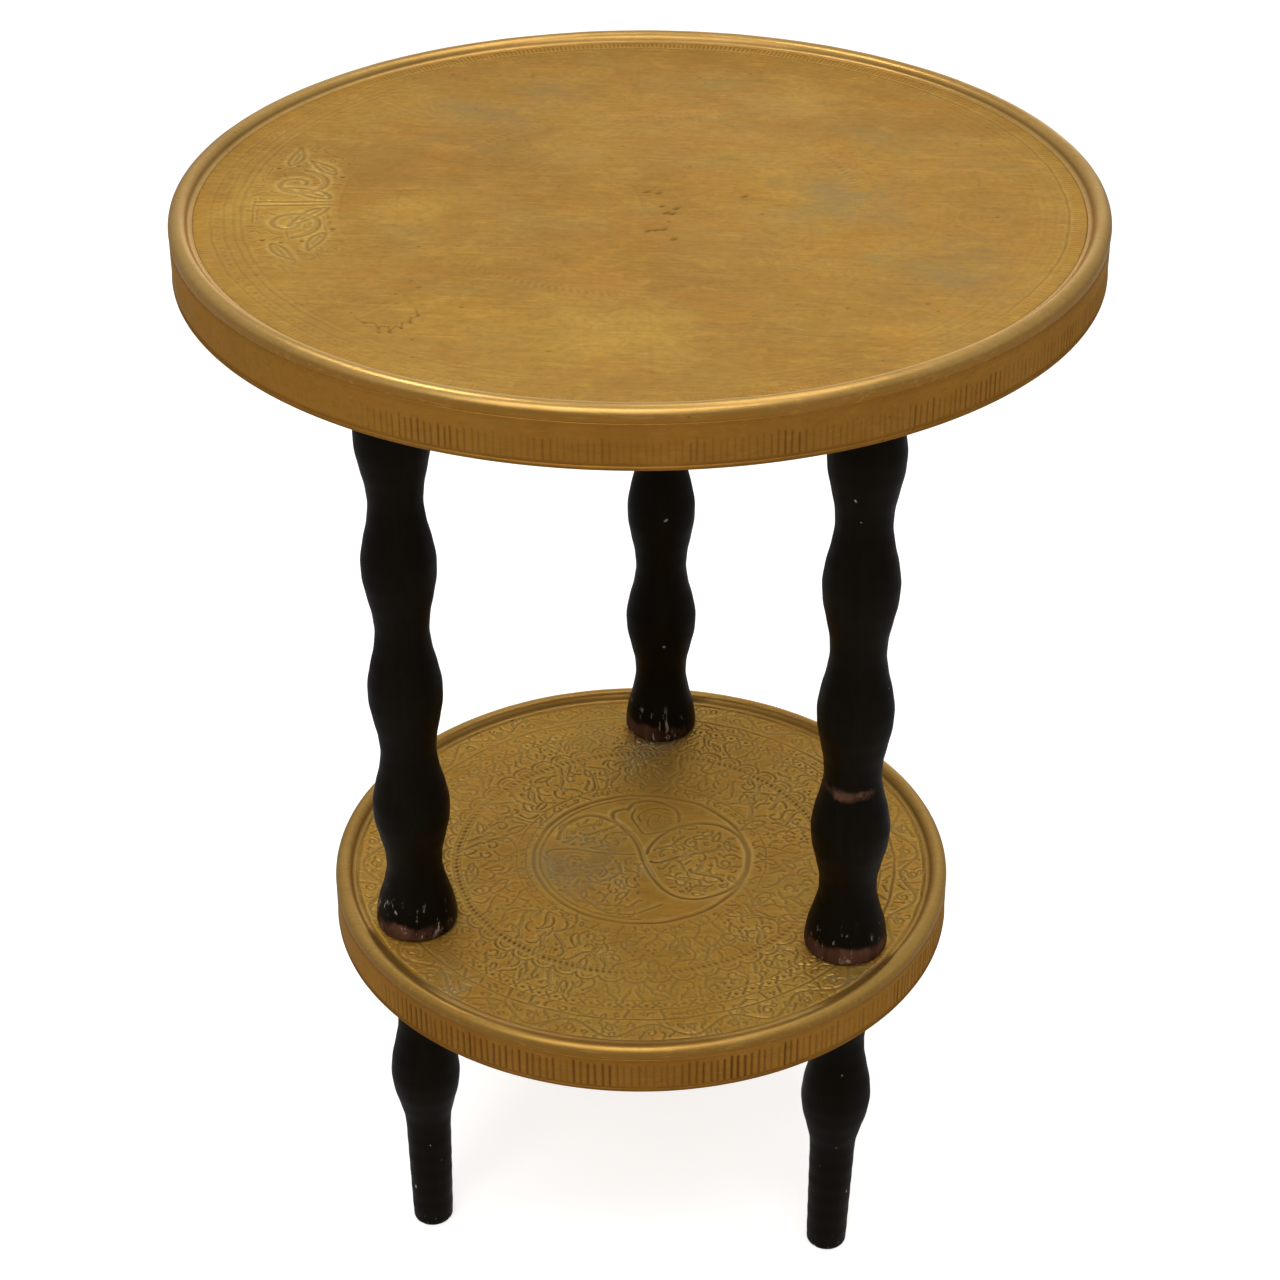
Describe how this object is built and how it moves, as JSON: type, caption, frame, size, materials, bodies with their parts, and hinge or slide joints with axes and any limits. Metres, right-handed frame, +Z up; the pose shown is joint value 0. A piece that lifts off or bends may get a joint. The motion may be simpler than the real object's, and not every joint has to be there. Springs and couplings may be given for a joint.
{
  "type": "brass tray table",
  "caption": "Round two-tier occasional table: two brass-clad wooden discs with rolled rims and ribbed edge bands, on turned ebonised legs.",
  "frame": {"origin": "on the floor, under the centre of the table", "axes": "+Z up; the gap between the two front legs faces -Y, the rear leg stands at +Y, the left leg is at -X"},
  "size_m": [0.44, 0.44, 0.5955],
  "materials": {
    "sheet_brass": "worn engraved brass, brown and grey-green patina",
    "rim_brass": "rubbed bright on the crest, dark in the seams",
    "band_brass": "chiselled vertical ribs, dark between them",
    "ebonised_wood": "black satin, worn to red-brown wood on edges",
    "board_wood": "bare, oiled by age",
    "steel": "plain",
    "tack_brass": "dull"
  },
  "bodies": {
    "root": {"top_board": "board_wood", "top_sheet": "sheet_brass", "top_rim": "rim_brass", "top_edge_band": "band_brass", "shelf_board": "board_wood", "shelf_sheet": "sheet_brass", "shelf_rim": "rim_brass", "shelf_edge_band": "band_brass", "upper_leg_left": "ebonised_wood", "lower_leg_left": "ebonised_wood", "upper_leg_right": "ebonised_wood", "lower_leg_right": "ebonised_wood", "upper_leg_rear": "ebonised_wood", "lower_leg_rear": "ebonised_wood", "top_stud_left": "steel", "shelf_stud_left": "steel", "tee_nut_left": "steel", "threaded_insert_left": "steel", "top_stud_right": "steel", "shelf_stud_right": "steel", "tee_nut_right": "steel", "threaded_insert_right": "steel", "top_stud_rear": "steel", "shelf_stud_rear": "steel", "tee_nut_rear": "steel", "threaded_insert_rear": "steel", "top_tack_01": "tack_brass", "top_tack_02": "tack_brass", "top_tack_03": "tack_brass", "top_tack_04": "tack_brass", "top_tack_05": "tack_brass", "top_tack_06": "tack_brass", "top_tack_07": "tack_brass", "top_tack_08": "tack_brass", "top_tack_09": "tack_brass", "top_tack_10": "tack_brass", "top_tack_11": "tack_brass", "top_tack_12": "tack_brass", "shelf_tack_01": "tack_brass", "shelf_tack_02": "tack_brass", "shelf_tack_03": "tack_brass", "shelf_tack_04": "tack_brass", "shelf_tack_05": "tack_brass", "shelf_tack_06": "tack_brass", "shelf_tack_07": "tack_brass", "shelf_tack_08": "tack_brass"}
  },
  "joints": []
}
